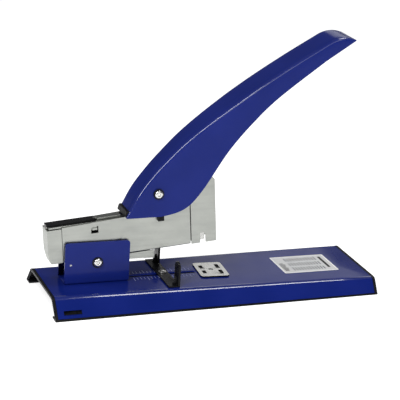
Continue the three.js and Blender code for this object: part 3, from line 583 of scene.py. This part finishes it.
def spline(points, count, steps=24):
    """Evenly spaced points on a smooth curve through the given ones."""
    knots = [Vector(points[0]) * 2 - Vector(points[1])] + [Vector(p) for p in points]
    knots.append(Vector(points[-1]) * 2 - Vector(points[-2]))
    fine = []
    for a, b, c, d in zip(knots, knots[1:], knots[2:], knots[3:]):
        for k in range(steps):
            t = k / steps
            fine.append(0.5 * (2 * b + (c - a) * t + (2 * a - 5 * b + 4 * c - d) * t ** 2
                               + (3 * b - a - 3 * c + d) * t ** 3))
    fine.append(Vector(points[-1]))
    lengths = [0.0]
    for p, q in zip(fine, fine[1:]):
        lengths.append(lengths[-1] + (q - p).length)
    spaced = []
    at = 0
    for i in range(count + 1):
        goal = lengths[-1] * i / count
        while at + 2 < len(fine) and lengths[at + 1] < goal:
            at += 1
        share = (goal - lengths[at]) / (lengths[at + 1] - lengths[at])
        spaced.append(fine[at].lerp(fine[at + 1], share))
    return spaced


def half_width(x):
    """The handle widens from narrow behind its pin to wide along the grip."""
    narrow, widening = 13, 3.5
    start, length = -6.7, 75
    share = min(1.0, max(0.0, (x - start) / length))
    smooth = share * share * (3 - 2 * share)
    return narrow + widening * (0.5 * smooth + 0.5 * share)


def handle_ring(top, edge):
    """One section of the channel: up the near cheek, over the rounded top, down, and back inside."""
    depth = (top - edge).length
    radius = min(2.6, depth * 0.42)
    inner_radius = max(0.3, radius - SHEET)
    roof = min(1.4, depth * 0.6)
    arc = [math.pi / 2 * k / 6 for k in range(7)]
    ring = []

    def half(s):
        return half_width(edge.lerp(top, min(1.0, s / depth)).x)

    def bend(y, s, r):
        """A quarter round about (y, s), from the cheek's side up to the roof."""
        return [(y + r * math.cos(a), s + r * math.sin(a)) for a in arc]

    foot, middle, head = half(0), half(depth * 0.45), half(depth)
    crest = (head - radius) * 0.5

    def add(y, s):
        point = edge.lerp(top, s / depth)
        ring.append(HANDLE @ (Vector((point.x, y, point.y)) * MM))

    wall = [(foot, 0.0), (middle, (depth - radius) * 0.5)]
    outside = wall + bend(head - radius, depth - radius, radius) + [(crest, depth)]
    inner_top = depth - roof
    reach = min(inner_radius, inner_top * 0.6)
    wall = [(foot - SHEET, 0.0), (middle - SHEET, (inner_top - reach) * 0.5)]
    inside = wall + bend(head - SHEET - reach, inner_top - reach, reach) + [(crest, inner_top)]
    for side, path in ((-1, outside), (1, outside[::-1]), (1, inside), (-1, inside[::-1])):
        for y, s in path:
            add(side * y, s)
    return ring


def make_handle():
    steps = 110
    ridge = spline(RIDGE, steps)
    edge = spline(EDGE, steps)
    tip = 16
    a, b, c = ridge[-1].copy(), Vector(TIP_BEND), Vector(TIP_RIDGE)
    d, e = edge[-1].copy(), Vector(TIP_EDGE)
    for k in range(1, tip + 1):
        t = k / tip
        ridge.append(a * (1 - t) ** 2 + b * 2 * t * (1 - t) + c * t ** 2)
        edge.append(d.lerp(e, t))
    rings = [handle_ring(top, low) for top, low in zip(ridge, edge)]
    mesh = from_loops("handle_shell_skin", rings)
    shade(mesh, 38)
    piece = add_piece("handle_shell_piece", mesh, "handle", ENAMEL, node="handle_shell")
    polish_folds(piece, 0.1, 0.97)


# ---------- stage ----------
def make_stage():
    bpy.ops.mesh.primitive_plane_add(size=12, location=(0, 0, -0.0002))
    floor = bpy.context.object
    floor.name = "floor"
    pale = bpy.data.materials.new("pale_floor")
    pale.use_nodes = True
    surface = pale.node_tree.nodes["Principled BSDF"]
    surface.inputs["Base Color"].default_value = (0.9, 0.9, 0.9, 1)
    surface.inputs["Roughness"].default_value = 0.9
    surface.inputs["Specular IOR Level"].default_value = 0.0
    surface.inputs["Emission Color"].default_value = (1, 1, 1, 1)
    surface.inputs["Emission Strength"].default_value = 0.62
    floor.data.materials.append(pale)


def add_light(name, place, aim, size, power, along=(0, 0, 1)):
    """An area light whose second size runs along the given direction."""
    light = bpy.data.lights.new(name, "AREA")
    light.shape = "RECTANGLE"
    light.size, light.size_y = size
    light.energy = power
    lamp = bpy.data.objects.new(name, light)
    facing = (Vector(place) - Vector(aim)).normalized()
    sideways = Vector(along).cross(facing).normalized()
    turned = Matrix((sideways, facing.cross(sideways), facing)).transposed().to_4x4()
    lamp.matrix_world = Matrix.Translation(place) @ turned
    bpy.context.scene.collection.objects.link(lamp)


def make_light():
    world = bpy.data.worlds.new("studio")
    bpy.context.scene.world = world
    world.use_nodes = True
    background = world.node_tree.nodes["Background"]
    background.inputs["Color"].default_value = (1, 1, 1, 1)
    background.inputs["Strength"].default_value = 0.16
    # A long strip draws a line of light along the ridge of the handle.
    add_light("strip", (-0.87, -0.8, 1.0), (0, 0, 0.12), (0.3, 1.2), 16, along=(0.54, -0.1, 0.5))
    add_light("over", (0.5, -0.02, 1.4), (0, 0, 0.02), (0.45, 0.45), 7)
    add_light("front", (0.2, -1.7, 1.0), (0, 0, 0.08), (1.2, 0.9), 7)
    add_light("back", (0.9, 1.3, 0.7), (0.1, 0, 0.0), (0.9, 0.5), 1.2)
    bpy.context.scene.view_settings.view_transform = "Standard"


def make_camera():
    data = bpy.data.cameras.new("camera")
    data.sensor_width = 36
    data.lens = CAMERA_LENS
    camera = bpy.data.objects.new("camera", data)
    back = Vector(CAMERA_BACK).normalized()
    right = Vector((0, 0, 1)).cross(back).normalized()
    up = back.cross(right)
    turned = Matrix((right, up, back)).transposed().to_4x4() @ Matrix.Rotation(CAMERA_ROLL, 4, "Z")
    camera.matrix_world = Matrix.Translation(CAMERA_PLACE) @ turned
    bpy.context.scene.collection.objects.link(camera)
    bpy.context.scene.camera = camera


make_camera()
make_light()
make_stage()
make_base()
make_guide()
make_scale()
make_label()
make_screws()
make_head()
make_staples()
make_springs()
make_handle()
